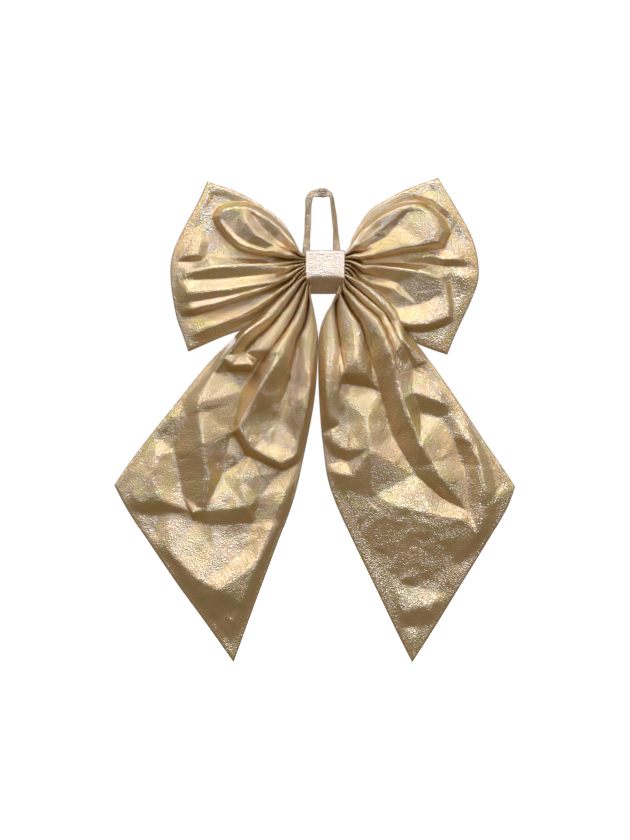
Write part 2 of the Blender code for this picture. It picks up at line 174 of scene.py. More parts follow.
RIGHT_WING_CREASES = [
    [(20, 16.5, 1.5), (33.6, 32.6, 6), (48.6, 44.6, 8.6), (64, 51.4, 9.8), (76.4, 52.8, 9.8),
     (86.4, 48.6, 9.4), (95.4, 40.6, 8.8), (99.6, 30.4, 8.6), (95, 21.4, 11), (87, 20.2, 11),
     (64.2, 16.6, 10.4), (41.4, 11.6, 7.6), (28, 8.8, 4.4), (20, 7.4, 1)],
    [(69, 51, 9.6), (58, 41.5, 8.8), (44, 31, 7.6), (28, 18.6, 4)],
    [(69, 47, 7.2), (60, 36, 5.6), (51, 26.6, 4.8), (30, 15.4, 2.2)],
    [(86, 47, 9.2), (92.6, 33, 10.6), (94, 23, 11)],
    [(26, 28, -0.4), (41, 44, -1.4), (56, 53, -1.8), (66, 56.2, -1.8), (80, 57.6, -1.8), (91, 52, -1.6),
     (100.6, 43, -1.2), (105.4, 31, -0.6), (100, 17.6, 0.6), (88, 15.8, 0.8), (64.2, 12.6, 0.4),
     (41.4, 8.4, 0.2), (28, 6.6, 0.2)],
    [(74, 63, 1.6), (92, 57.5, 3), (108, 45, 2)],
    [(84, 70, -0.6), (100, 62, -0.4)],
    [(78, 9.6, 3.6), (90, 10.6, 4.6), (99, 7.2, 5.2), (112, 8, 4), (125, 5.6, 1.4)],
    [(100, 2.6, 1.2), (114, 1.6, 0.6), (124, 0.6, 0.4)],
    [(106, -3, 2.2), (120, -8.4, 3.8)],
    [(40, 5.2, 0.6), (65, 4.6, 0.8), (88, 3.4, 1.8)],
    [(22, 2.4, 1.6), (40, 2, 5.8), (62, -0.4, 7.8), (81, -3.2, 8.4), (96.6, -8.2, 7.2), (101, -14, 5.4),
     (103, -28, 5.2), (104, -40.5, 6), (87, -47.6, 8.2), (65.7, -48.2, 7.8), (54, -36, 6), (36, -19.5, 4.4),
     (24, -8.6, 1.4)],
    [(26, -2.6, 0.2), (44, -7.6, 0.4), (60, -12, 2.4)],
    [(30, -7.6, 1.6), (44, -13.2, 4.4), (58, -17.6, 5)],
    [(33, -13.4, 0.6), (46, -21.6, 1), (60, -33, 2.4), (78, -30.6, 2.6), (97, -23, 3.6)],
    [(106, -12.6, 0.4), (108, -28, 0.3), (109, -43.5, 0.3), (104.6, -46, 0.3), (87, -52.4, 0.2),
     (67, -53, 0.2)],
    [(116, -22, 1.2), (114, -38, 1.4)],
    [(82, -60, 1.2), (98, -62, 1.4)],
]
LEFT_TAIL_CREASES = [
    [(-17.9, -24, 1), (-13.4, -65.3, 3), (-13.4, -102.9, 4), (-19.8, -148, 3)],
    [(-25.4, -39, 2), (-36.7, -72.8, 5), (-55.5, -102.9, 7), (-72.4, -134.8, 6.5), (-63, -151.8, 5.5),
     (-36.7, -164.9, 5), (-22.4, -155.5, 3)],
    [(-21.6, -65, 0.5), (-25.4, -95, 0), (-36.7, -125, 1.5), (-44, -148, 2.4)],
    [(-76, -139, 0.5), (-65.5, -157, 0.5), (-35.8, -169.8, 0), (-21.6, -162, 0.2)],
    [(-57.3, -76.6, 0.5), (-70.5, -102.9, 0), (-79.9, -140.5, 0), (-87.4, -174.3, 0.5)],
    [(-44.2, -39, 2), (-66.7, -54, 5.5), (-84.8, -74.7, 5), (-78, -82, 5), (-61.1, -81.5, 5), (-46, -69, 4)],
    [(-48, -46.5, 0.5), (-68.5, -70, 1.5)],
    [(-81, -86.5, 0.8), (-59.2, -86.5, 0.8)],
    [(-93, -87.9, 2.5), (-106.2, -114, 6), (-102.4, -148, 7), (-98.7, -178, 5.5), (-100.6, -204, 3.5)],
    [(-115.6, -125.4, 3), (-126.9, -155.5, 0), (-119.4, -193, 0), (-110, -211.9, 0)],
    [(-141.9, -155.5, 2.5), (-145.7, -178, 3.2), (-138, -196, 3.4)],
    [(-164.5, -198.7, 1.6), (-138, -196, 3.4), (-111.8, -206, 3.2)],
    [(-161, -205.5, 0.2), (-134.4, -204.6, 0), (-110, -214, 0)],
    [(-96.8, -215.6, 1.4), (-92, -238, 3.2)],
    [(-130, -241, 2.6), (-106, -262, 5.6), (-90, -270, 6.2), (-70, -258, 4.4)],
    [(-70.5, -178, 3), (-66.7, -200.6, 3.8)],
    [(-29, -185.6, 2.6), (-55.5, -192, 1)],
    [(-36, -209, 2.6), (-54, -244, 4.2), (-67, -284, 3.4), (-75.5, -310, 1)],
    [(-60, -214, 0.4), (-68, -238, 1.6)],
]
RIGHT_TAIL_CREASES = [
    [(12.2, -27.7, 1), (2.8, -57.8, 3), (0.9, -87.9, 4), (0.9, -125, 3.5)],
    [(12.2, -65, 0.4), (11, -102.9, 1), (12, -132, 1.4)],
    [(23.5, -46.5, 2), (27, -74, 5), (14.5, -88, 4.6), (32.8, -90, 5.2)],
    [(14.5, -96, 0.4), (33.5, -98.5, 0.4)],
    [(38.5, -72.8, 0.5), (46, -102.9, 0), (56.3, -140.5, 0), (76, -174, 0.4), (98, -193, 0)],
    [(42.2, -39, 2), (55.4, -72.8, 5.5), (64, -110.4, 7), (79.8, -148, 6.4), (98.6, -178, 5),
     (105.4, -187, 3.5)],
    [(66, -62, 4), (84, -76.6, 3.4)],
    [(74, -84, 0.5), (90, -95, 0.2)],
    [(74, -104, 3.6), (96, -112, 3.2)],
    [(80, -122, 0.8), (98, -126, 0.8)],
    [(113.6, -112, 1.5), (126.8, -148, 4.5), (133.2, -185.6, 5.2), (129, -223, 3)],
    [(108, -142, 0.6), (118, -170, 0.6), (121.5, -206, 1.2)],
    [(140.5, -166, 0.8), (145.6, -193, 1.5)],
    [(0.9, -143, 2.6), (17.8, -153, 3.6)],
    [(1.2, -153, 0.6), (18.5, -163, 0.4)],
    [(2.6, -171, 2.6), (23.5, -174, 3.2)],
    [(34.7, -127, 4.2), (38, -151.8, 5.4), (38.5, -184, 3)],
    [(42.2, -190, 2.6), (60, -200, 4.6), (90, -206, 5.4), (118, -211, 3.6)],
    [(30, -222, 0.5), (46, -240, 0.6), (58, -262, 0.8)],
    [(64, -236, 2.6), (84, -232, 3), (70, -262, 2)],
    [(76, -268, 0.7), (100, -252, 0.8)],
    [(66, -290, 2.2), (84, -284, 2.4)],
    [(68, -302, 0.3), (80, -301, 0.3)],
    [(72, -314, 1), (76, -312, 1)],
]

# Each kind of pouch: the seam's y at the knot's bottom and top edge and at the far edge, the grid's step, the
# deepest pleat, the back's bulge, the creases' scale, and each crumple's spacing and height. Then, as shares
# of the way outwards, where pleats fade, fold lines reach their places, and creases rise.
WING = {
    "seam": (-8.4, -8.6, -7.5), "spacing": 1.15, "deepest": 17.5, "puff": 2.2, "relief": 1.35,
    "crumple": ((26, 0.6), (11, 0.14), (6, 0.05)),
    "fade": (0.1, 0.36), "opened": (0.02, 0.2), "rise": (0.02, 0.2),
}
TAIL = {
    "seam": (-9.0, -12.0, -8.5), "spacing": 1.3, "deepest": 12.5, "puff": 2.6, "relief": 2.6,
    "crumple": ((27, 0.8), (12, 0.34), (6, 0.12)),
    "fade": (0.22, 0.46), "opened": (0.0, 0.1), "rise": (0.12, 0.34),
}

# The knot band's middle line from its inner end to its lapped end: y, z, half width and half thickness.
BAND_ROUTE = [
    (-4.4, -9.5, 14.6, 0.55), (-4.4, 0, 15.2, 0.55), (-4.5, 10, 15.8, 0.55), (-5.6, 13.6, 16.6, 0.6),
    (-10, 14.5, 16.6, 0.6), (-18, 14.2, 16.6, 0.6), (-24, 13.8, 16.5, 0.6), (-26.3, 13, 16.5, 0.6),
    (-27, 9.6, 16.5, 0.6), (-28.1, 2.4, 16.4, 0.6), (-29.1, -4.6, 16.3, 0.6), (-29, -8.2, 16.2, 0.6),
    (-26.2, -10.8, 15.9, 0.6), (-19, -14.6, 15, 0.6), (-12, -18.2, 13.9, 0.6), (-7.4, -20.2, 13.2, 0.6),
    (-2.6, -19, 13.2, 0.55), (-0.8, -14.6, 13.8, 0.5), (-0.75, -4, 14.6, 0.5), (-0.8, 8, 15, 0.5),
]

# The hanging loop's middle line from its left end to its right one: x, z, half width and turn in degrees.
LOOP_Y = -2.6
LOOP_ROUTE = [
    (-15.6, -6, 2.9, 0), (-15.7, 6, 2.9, 0), (-15.9, 16, 3.1, 6), (-15, 30, 2.6, 18), (-14.5, 41, 2.7, 8),
    (-14.1, 52, 2.5, -14), (-13.7, 59, 2.9, -4), (-11.4, 63.6, 2.7, 12), (-6.5, 64.8, 3.3, 4),
    (-1, 65, 3.8, -4), (3.2, 64.2, 2.6, 16), (5.4, 61.6, 1.8, 34), (6.6, 54, 2.3, 44), (7.9, 44, 2.4, 34),
    (8.8, 34, 2.6, 46), (9.4, 25, 2.9, 26), (9.9, 16, 3, 8), (10, 6, 2.9, 0), (10, -6, 2.9, 0),
]
LOOP_HALF_THICK = 0.55
LOOP_END_DEPTH = 0.6

# The strips' grids and wrinkle heights, and each size of wrinkle with its share of that height.
BAND_ROWS, BAND_COLUMNS, BAND_WRINKLE = 190, 101, 0.2
LOOP_ROWS, LOOP_COLUMNS, LOOP_WRINKLE = 260, 45, 0.26
WRINKLE_CELLS = ((6.0, 1.0), (2.6, 0.45))
STRIP_THICK = 0.22

# The bundles of cloth inside the band.
BUNDLE_ROWS, BUNDLE_COLUMNS = 15, 120
BUNDLE_WAIST = 0.12

# A pouch's two layers: their gap, rolled edges, hem and bulge, and where these start outwards from the knot.
CLOTH_THICK = 0.3
LAYER_GAP = 0.7
EDGE_ROLL, ROLL_WIDTH = 1.2, 3.0
FRONT_ROLL, BACK_ROLL = 0.4, 0.6
HEM_WIDTH, HEM_SLOPE, HEM_STEP = 7.0, 2.5, 0.35
PUFF_MARGIN, PUFF_BUMPS = 30, (8, 6)
KNOT_CLEAR = (0.04, 0.3)

# The seam's thread, and how many grid steps it lies from the edge.
THREAD_RADIUS = 0.2
SEAM_INSET = 3

# The cloth solver's levels, coarse to fine: grid step, rounds, bending and hold on the design. Then the cut's
# share in the lengths that it keeps, its passes per round, and how far behind the seam a sheet may come.
SETTLE_LEVELS = ((4, 20, 0.06, 0.06), (2, 10, 0.03, 0.06), (1, 4, 0.01, 0.05))
CUT_SHARE = 0.04
LENGTH_PASSES = 3
BEHIND_SEAM = 1.0

# The creases: their margin to the seams, the corners along an edge, and the sharp and the softened shares.
CREASE_MARGIN, BORDER_CORNERS = 14, 14
SHARP_SHARE = 0.5
SOFT_SHARES = ((0.25, 1.2), (0.25, 3.0))
CRUMPLE_JITTER, CRUMPLE_LIMIT = 0.45, 3

# The pleats: how round a crest is, how often a row is softened, a row's samples, the halvings and the
# softening of the depths, and the least gap and the ends of fold lines, as shares.
CREST_ROUND = 2.1
VALLEY_ROUNDS = 3
ROW_SAMPLES = 500
DEPTH_ROUNDS = 30
DEPTH_REACH, DEPTH_SPREAD = 9, 3.5
LEAST_GAP = 0.006
FOLD_END = (0.10, 0.05)

# The film's colours, as five tones that play into each other.
GOLD_TONES = [
    (0.64, 0.41, 0.03), (0.67, 0.40, 0.05), (0.74, 0.40, 0.09), (0.62, 0.43, 0.02), (0.78, 0.39, 0.03),
]
# The knot band's tones: the same gold made lighter and pinker, a painted highlight for the light on the
# band's front.
BAND_PAINTED_HIGHLIGHT_TONES = [
    (0.80, 0.56, 0.28), (0.82, 0.56, 0.32), (0.86, 0.58, 0.38), (0.80, 0.58, 0.28), (0.86, 0.56, 0.30),
]
# The hanging loop's tones: the same gold made darker, painted shade against the light that the loop reflects.
LOOP_PAINTED_SHADE_TONES = [
    (0.44, 0.32, 0.13), (0.46, 0.31, 0.15), (0.50, 0.32, 0.18), (0.43, 0.33, 0.13), (0.52, 0.32, 0.14),
]
TONE_STOPS = (0.3, 0.42, 0.52, 0.62, 0.74)

# The studio: its tone from straight down to straight up, and the softboxes' colour and common aim.
STUDIO_TONES = [
    (0.0, (0.20, 0.17, 0.12)), (0.38, (0.24, 0.20, 0.15)), (0.50, (0.29, 0.26, 0.19)),
    (0.58, (0.38, 0.35, 0.28)), (0.75, (0.60, 0.61, 0.64)), (1.0, (0.44, 0.45, 0.48)),
]
LIGHT_COLOUR = (0.86, 0.98, 1.18)
LIGHT_AIM = (0, 0, -0.1)


# ---- lines and outlines


def smooth_line(points, count):
    """`count` evenly spaced points on the smooth curve through the given ones."""
    knots = np.array(points, float)
    padded = np.vstack([2 * knots[0] - knots[1], knots, 2 * knots[-1] - knots[-2]])
    fine = [knots[0]]
    for before, start, end, after in zip(padded, padded[1:], padded[2:], padded[3:]):
        for t in np.linspace(0, 1, 17)[1:]:
            pull = (end - before) * t + (2 * before - 5 * start + 4 * end - after) * t * t
            fine.append(start + (pull + (3 * start - before - 3 * end + after) * t**3) / 2)
    fine = np.array(fine)
    along = np.concatenate([[0], np.cumsum(np.linalg.norm(np.diff(fine, axis=0), axis=1))])
    at = np.linspace(0, along[-1], count)
    return np.stack([np.interp(at, along, fine[:, k]) for k in range(knots.shape[1])], axis=1)


def line_length(points):
    """The length of the smooth curve through the given points."""
    return float(np.linalg.norm(np.diff(smooth_line(points, 300), axis=0), axis=1).sum())


class Fan:
    """The flat area between a pouch's edges, as (x, z) of (u, t).

    u runs from the knot outwards and t from the bottom edge to the top one.
    """

    SAMPLES = 240

    def __init__(self, edges):
        self.grid = np.linspace(0, 1, self.SAMPLES)
        lines = (smooth_line(edges[name], self.SAMPLES) for name in ("top", "bottom", "far"))
        self.top, self.bottom, far = lines
        self.far = far[::-1]
        u, t = np.meshgrid(self.grid, self.grid, indexing="ij")
        self.table = self.at(u, t)

    def on(self, line, at):
        """The points at the shares `at` along one edge."""
        return np.stack([np.interp(at, self.grid, line[:, k]) for k in range(2)], axis=-1)

    def at(self, u, t):
        """The (x, z) of each (u, t)."""
        u1, t1 = u[..., None], t[..., None]
        low, high = self.bottom[0], self.top[0]
        sides = (1 - t1) * self.on(self.bottom, u) + t1 * self.on(self.top, u)
        ends = (1 - u1) * ((1 - t1) * low + t1 * high) + u1 * self.on(self.far, t)
        corners = (1 - u1) * ((1 - t1) * low + t1 * high) + u1 * ((1 - t1) * self.far[0] + t1 * self.far[-1])
        return sides + ends - corners

    def find(self, points):
        """The (u, t) of points of the bow's plane."""
        found = []
        for point in np.array(points, float):
            distance = ((self.table - point) ** 2).sum(-1)
            i, j = np.unravel_index(distance.argmin(), distance.shape)
            found.append((self.grid[i], self.grid[j]))
        return np.array(found)


def ease(x, start, end):
    """0 before start, 1 after end, smooth between."""
    s = np.clip((x - start) / (end - start), 0, 1)
    return s * s * (3 - 2 * s)


def soft_noise(shape, cells, rng):
    """Smooth noise of about unit height on a grid, with roughly `cells` (rows, columns) bumps."""
    rows, columns = (max(2, int(round(c))) for c in cells)
    coarse = rng.standard_normal((rows + 3, columns + 3))

    def spread(values, count, axis):
        """Cubic B-spline interpolation along one axis."""
        at = np.linspace(0, values.shape[axis] - 3 - 1e-6, count)
        whole = at.astype(int)
        f = at - whole
        weights = [(1 - f) ** 3 / 6, (3 * f**3 - 6 * f**2 + 4) / 6,
                   (-3 * f**3 + 3 * f**2 + 3 * f + 1) / 6, f**3 / 6]
        moved = np.moveaxis(values, axis, 0)
        made = sum(w[:, None] * moved[whole + k] for k, w in enumerate(weights))
        return np.moveaxis(made, 0, axis)

    return 1.6 * spread(spread(coarse, shape[0], 0), shape[1], 1)


# ---- the fold design


def fold_marks(folds, at, opened):
    """Where a row's fold lines cross it, as t, and how far each stands towards the face, at u = `at`.

    The crossings are evenly spaced where opened is 0, and in their own places where it is 1.
    """
    places, heights = [0.0], [0.0]
    count = len(folds)
    for k, (height, seen) in enumerate(folds, 1):
        end = seen[-1, 0]
        t = np.interp(at, seen[:, 0], seen[:, 1])
        spaced = k / (count + 1)
        places.append(spaced + (t - spaced) * opened)
        crest = float(k % 2)
        lost = ease(at, end - FOLD_END[0], end + FOLD_END[1])
        heights.append((crest + (height - crest) * opened) * (1 - lost))
    places = np.array(places + [1.0])
    for k in range(1, len(places)):
        places[k] = max(places[k], places[k - 1] + LEAST_GAP)
    return places / places[-1], np.array(heights + [0.0])


def fold_profile(places, heights, fine):
    """The height of a row's pleats at each t: rounded crests with narrow valleys between them."""
    k = np.clip(np.searchsorted(places, fine, side="right") - 1, 0, len(places) - 2)
    s = (fine - places[k]) / (places[k + 1] - places[k])
    away = np.where(heights[k + 1] > heights[k], 1 - s, s)
    lift = (1 - away**CREST_ROUND) ** (1 / CREST_ROUND)
    low, high = np.minimum(heights[k], heights[k + 1]), np.maximum(heights[k], heights[k + 1])
    return low + (high - low) * lift


def pleat_rows(fan, folds, kind, u, flat):
    """The points of a sheet whose rows are pleated to the cut's width, as (x, y, z) over the cut's grid."""
    fine = np.linspace(0, 1, ROW_SAMPLES)
    rows, columns = flat.shape[:2]
    found = [(height, fan.find(line)) for height, line in folds]
    profiles, depths, steps = [], [], []
    for i, at in enumerate(u):
        profile = fold_profile(*fold_marks(found, at, ease(at, *kind["opened"])), fine)
        step = np.linalg.norm(np.diff(fan.at(np.full(ROW_SAMPLES, at), fine), axis=0), axis=1)
        width = np.linalg.norm(flat[i, -1] - flat[i, 0])
        low, high = 0.0, kind["deepest"] / max(1.0, profile.max())
        for _ in range(DEPTH_ROUNDS):
            depth = (low + high) / 2
            if np.hypot(step, depth * np.diff(profile)).sum() < width:
                low = depth
            else:
                high = depth
        profiles.append(profile)
        steps.append(step)
        depths.append(low * (1 - ease(at, *kind["fade"])))
    spread = np.exp(-0.5 * (np.arange(-DEPTH_REACH, DEPTH_REACH + 1) / DEPTH_SPREAD) ** 2)
    depths = np.convolve(np.pad(depths, DEPTH_REACH, mode="edge"), spread / spread.sum(), mode="valid")
    points = np.zeros((rows, columns, 3))
    bottom, top, far = kind["seam"]
    for i, at in enumerate(u):
        along = np.concatenate([[0], np.cumsum(np.hypot(steps[i], depths[i] * np.diff(profiles[i])))])
        t = np.interp(np.linspace(0, along[-1], columns), along, fine)
        points[i, :, [0, 2]] = fan.at(np.full(columns, at), t).T
        seam = (bottom * (1 - t) + top * t) * (1 - at) + far * at
        points[i, :, 1] = seam - depths[i] * np.interp(t, fine, profiles[i])
    for _ in range(VALLEY_ROUNDS):
        points[:, 1:-1] = (points[:, :-2] + 2 * points[:, 1:-1] + points[:, 2:]) / 4
    return points


def facet_heights(spots, corners, heights, triangles):
    """The height at each spot of the flat facets between the given corners."""
    total = np.zeros(spots.shape[:-1])
    for a, b, c in triangles:
        first, second, off = corners[b] - corners[a], corners[c] - corners[a], spots - corners[a]
        size = first[0] * second[1] - second[0] * first[1]
        if abs(size) < 1e-6:
            continue
        one = (off[..., 0] * second[1] - second[0] * off[..., 1]) / size
        two = (first[0] * off[..., 1] - off[..., 0] * first[1]) / size
        inside = (one >= 0) & (two >= 0) & (one + two <= 1)
        found = heights[a] + one * (heights[b] - heights[a]) + two * (heights[c] - heights[a])
        total = np.where(inside, found, total)
    return total


def crease_height(spots, edges, creases):
    """How far the ridges and valleys lift a sheet towards the face, at each (x, z)."""
    border = np.vstack([smooth_line(edges[name], BORDER_CORNERS)[:-1] for name in ("top", "far")] +
                       [smooth_line(edges["bottom"], BORDER_CORNERS)[::-1][:-1]])
    corners = [Vector(spot) for spot in border]
    heights = [0.0] * len(corners)
    ties = []
    for line in creases:
        for k, (x, z, height) in enumerate(line):
            corners.append(Vector((x, z)))
            heights.append(height)
            if k:
                ties.append((len(corners) - 2, len(corners) - 1))
    found, _, triangles, sources, _, _ = delaunay_2d_cdt(corners, ties, [], 0, 1e-4)
    raised = np.array([max(heights[k] for k in source) if source else 0.0 for source in sources])
    sharp = facet_heights(spots, np.array([tuple(corner) for corner in found]), raised, triangles)
    mixed = SHARP_SHARE * sharp
    for share, spread in SOFT_SHARES:
        mixed = mixed + share * blurred(sharp, spread)
    return mixed


def blurred(heights, spread):
    """A grid of heights softened over about `spread` cells."""
    reach = int(3 * spread) + 1
    weights = np.exp(-0.5 * (np.arange(-reach, reach + 1) / spread) ** 2)
    weights /= weights.sum()
    for axis in (0, 1):
        moved = np.moveaxis(heights, axis, 0)
        padded = np.pad(moved, ((reach, reach), (0, 0)), mode="edge")
        moved = sum(w * padded[k:k + len(moved)] for k, w in enumerate(weights))
        heights = np.moveaxis(moved, 0, axis)
    return heights


def crumple(flat, spacing, height, rng):
    """Random flat facets, as crumpled foil keeps them: heights over the flat cut."""
    low = flat.reshape(-1, 2).min(0) - spacing
    count = np.ceil((flat.reshape(-1, 2).max(0) + spacing - low) / spacing).astype(int) + 1
    place = np.stack(np.meshgrid(*(np.arange(n) for n in count), indexing="ij"), -1)
    moved = place + rng.uniform(-CRUMPLE_JITTER, CRUMPLE_JITTER, place.shape)
    corners = (low + moved * spacing).reshape(-1, 2)
    heights = height * np.clip(rng.standard_t(4, len(corners)), -CRUMPLE_LIMIT, CRUMPLE_LIMIT)
    index = np.arange(len(corners)).reshape(count)
    triangles = []
    squares = (index[:-1, :-1], index[1:, :-1], index[1:, 1:], index[:-1, 1:])
    for a, b, c, d in zip(*(part.ravel() for part in squares)):
        triangles += [(a, b, c), (a, c, d)] if rng.random() < 0.5 else [(a, b, d), (b, c, d)]
    return facet_heights(flat, corners, heights, triangles)


# ---- the cloth solver


class Cloth:
    """A grid of cloth points in millimetres, held to lengths between its design's and its flat cut's."""

    # Rows apart, columns apart and strength.
    LINKS = ((1, 0, 1.0), (0, 1, 1.0), (1, 1, 0.5), (1, -1, 0.5), (2, 0, 0.12), (0, 2, 0.12))

    def __init__(self, points, flat, design, free):
        self.x = points.copy()
        self.free = free
        self.design = design
        self.groups = [group for link in self.LINKS for group in self.link_groups(flat, *link)]

    def link_groups(self, flat, di, dj, strength):
        """The pairs of one kind of link and their rest lengths, in groups where no point comes twice."""
        rows, columns = flat.shape[:2]
        span = 2 * di if di else 2 * dj
        made = []
        for start in range(span):
            if di:
                a_rows = slice(start, rows - di, span)
                count = len(range(*a_rows.indices(rows)))
                b_rows = slice(start + di, start + di + count * span, span)
                a_cols = slice(0, columns - dj) if dj >= 0 else slice(-dj, columns)
                b_cols = slice(dj, columns) if dj >= 0 else slice(0, columns + dj)
            else:
                a_rows = b_rows = slice(0, rows)
                a_cols = slice(start, columns - dj, span)
                count = len(range(*a_cols.indices(columns)))
                b_cols = slice(start + dj, start + dj + count * span, span)
            if count == 0:
                continue
            a, b = (a_rows, a_cols), (b_rows, b_cols)
            rest = CUT_SHARE * np.linalg.norm(flat[b] - flat[a], axis=-1)
            rest += (1 - CUT_SHARE) * np.linalg.norm(self.design[b] - self.design[a], axis=-1)
            made.append((a, b, rest, strength))
        return made

    def hold_lengths(self):
        """Each link's two points moved towards its rest length."""
        for a, b, rest, strength in self.groups:
            pa, pb, wa, wb = self.x[a], self.x[b], self.free[a], self.free[b]
            gap = pb - pa
            length = np.sqrt((gap * gap).sum(-1)) + 1e-9
            push = gap * (strength * (length - rest) / (length * (wa + wb + 1e-9)))[..., None]
            pa += push * wa[..., None]
            pb -= push * wb[..., None]

    def smooth(self, amount):
        """The bending: each point drawn towards the mean of its four neighbours."""
        x = self.x
        mean = (x[:-2, 1:-1] + x[2:, 1:-1] + x[1:-1, :-2] + x[1:-1, 2:]) / 4
        x[1:-1, 1:-1] += amount * self.free[1:-1, 1:-1, None] * (mean - x[1:-1, 1:-1])


def flat_cut(u, columns, width, low, high):
    """The flat cut's (along, across) at each grid point: its two sides are low and high long."""
    v = np.linspace(0, 1, columns)
    along = u[:, None] * (low + (high - low) * v)
    return np.stack([along, np.broadcast_to(v * width, along.shape)], axis=-1)


def settle(design, flat, kind):
    """The designed sheet relaxed as cloth, from its large folds to its small ones."""
    moved = None
    for step, rounds, bend, hold in SETTLE_LEVELS:
        goal, cut = design[::step, ::step], flat[::step, ::step]
        free = np.ones(goal.shape[:2])
        free[0] = free[-1] = free[:, 0] = free[:, -1] = 0.0
        start = goal if moved is None else goal + doubled(moved)
        cloth = Cloth(start, cut, goal, free)
        for _ in range(rounds):
            cloth.x[..., 1] += hold * (goal[..., 1] - cloth.x[..., 1]) * free
            cloth.smooth(bend)
            for _ in range(LENGTH_PASSES):
                cloth.hold_lengths()
            cloth.x[..., 1] = np.minimum(cloth.x[..., 1], kind["seam"][2] + BEHIND_SEAM)
        moved = cloth.x - goal
    return cloth.x


def doubled(grid):
    """A grid's values at twice the resolution."""
    for axis in (0, 1):
        wide = np.moveaxis(grid, axis, 0)
        between = (wide[:-1] + wide[1:]) / 2
        woven = np.empty((len(wide) + len(between), *wide.shape[1:]))
        woven[::2], woven[1::2] = wide, between
        grid = np.moveaxis(woven, 0, axis)
    return grid


def edge_distance(flat, width):
    """Each point's distance from the seams, but not from the knot, on the flat cut."""
    along, across = flat[..., 0], flat[..., 1]
    return np.minimum(np.minimum(across, width - across), along[-1] - along)


def fold_sheet(edges, folds, creases, kind, seed):
    """The front sheet of a pouch and its flat cut, both over the same grid."""
    rng = np.random.default_rng(seed)
    fan = Fan(edges)
    low, high = line_length(edges["bottom"]), line_length(edges["top"])
    width = math.sqrt(line_length(edges["far"]) ** 2 - (low - high) ** 2)
    rows, columns = (4 * int(round(size / kind["spacing"] / 4)) + 1 for size in ((low + high) / 2, width))
    u = np.linspace(0, 1, rows)
    flat = flat_cut(u, columns, width, low, high)
    points = pleat_rows(fan, folds, kind, u, flat)
    inside = ease(edge_distance(flat, width), 0, CREASE_MARGIN) * ease(u, *kind["rise"])[:, None]
    points[..., 1] -= inside * kind["relief"] * crease_height(points[..., [0, 2]], edges, creases)
    for size, height in kind["crumple"]:
        points[..., 1] -= inside * crumple(flat, size, height, rng)
    points = settle(points, flat, kind)
    return points, flat, (width, low, high)


def normals(points):
    """Unit normals of a grid, towards the face."""
    du, dv = np.gradient(points, axis=0), np.gradient(points, axis=1)
    n = np.cross(du, dv)
    n /= np.linalg.norm(n, axis=-1)[..., None] + 1e-9
    return n * np.where(np.median(n[..., 1]) > 0, -1, 1)


# ---- meshes


def new_object(name, data):
    """An object of the scene."""
    made = bpy.data.objects.new(name, data)
    bpy.context.scene.collection.objects.link(made)
    return made


def grid_object(name, points, flat, material, thick=CLOTH_THICK):
    """A sheet's mesh in metres, with its flat cut as the UV map, thickened to the cloth's thickness."""
    rows, columns = points.shape[:2]
    mesh = bpy.data.meshes.new(name)
    index = np.arange(rows * columns).reshape(rows, columns)
    quads = np.stack([index[:-1, :-1], index[1:, :-1], index[1:, 1:], index[:-1, 1:]], -1).reshape(-1, 4)
    mesh.from_pydata((points.reshape(-1, 3) * MM).tolist(), [], quads.tolist())
    layer = mesh.uv_layers.new(name="flat_cut")
    corners = np.empty(len(mesh.loops), int)
    mesh.loops.foreach_get("vertex_index", corners)
    layer.data.foreach_set("uv", (flat.reshape(-1, 2)[corners] * MM).astype(np.float32).ravel())
    mesh.shade_smooth()
    mesh.materials.append(material)
    obj = new_object(name, mesh)
    solid = obj.modifiers.new("thickness", "SOLIDIFY")
    solid.thickness = thick * MM
    solid.offset = 0
    return obj


def tube_object(name, points, radius, material):
    """A round thread along the given points."""
    curve = bpy.data.curves.new(name, "CURVE")
    curve.dimensions = "3D"
    curve.bevel_depth = radius * MM
    curve.bevel_resolution = 2
    curve.use_fill_caps = True
    spline = curve.splines.new("POLY")
    spline.points.add(len(points) - 1)
    for spot, point in zip(spline.points, points):
        spot.co = (*[c * MM for c in point], 1.0)
    curve.materials.append(material)
    return new_object(name, curve)


# ---- materials


def new_material(name):
    made = bpy.data.materials.new(name)
    made.use_nodes = True
    return made, made.node_tree, made.node_tree.nodes["Principled BSDF"]


def add_node(tree, kind, **values):
    """A new shader node with the given values on its inputs."""
    node = tree.nodes.new("ShaderNode" + kind)
    for name, value in values.items():
        node.inputs[name.replace("_", " ")].default_value = value
    return node


def noise_node(tree, vector, scale, detail=3.0, roughness=0.5, distortion=0.0):
    node = add_node(tree, "TexNoise", Scale=scale, Detail=detail, Roughness=roughness, Distortion=distortion)
    tree.links.new(vector, node.inputs["Vector"])
    return node.outputs["Fac"]


def ramp_node(tree, value, stops):
    node = add_node(tree, "ValToRGB")
    ramp = node.color_ramp
    while len(ramp.elements) < len(stops):
        ramp.elements.new(0.5)
    for element, (at, colour) in zip(ramp.elements, stops):
        element.position = at
        element.color = (*colour, 1.0)
    tree.links.new(value, node.inputs["Fac"])
    return node.outputs["Color"]


def bump_node(tree, height, distance, normal=None):
    node = add_node(tree, "Bump", Strength=1.0, Distance=distance)
    tree.links.new(height, node.inputs["Height"])
    if normal is not None:
        tree.links.new(normal, node.inputs["Normal"])
    return node.outputs["Normal"]


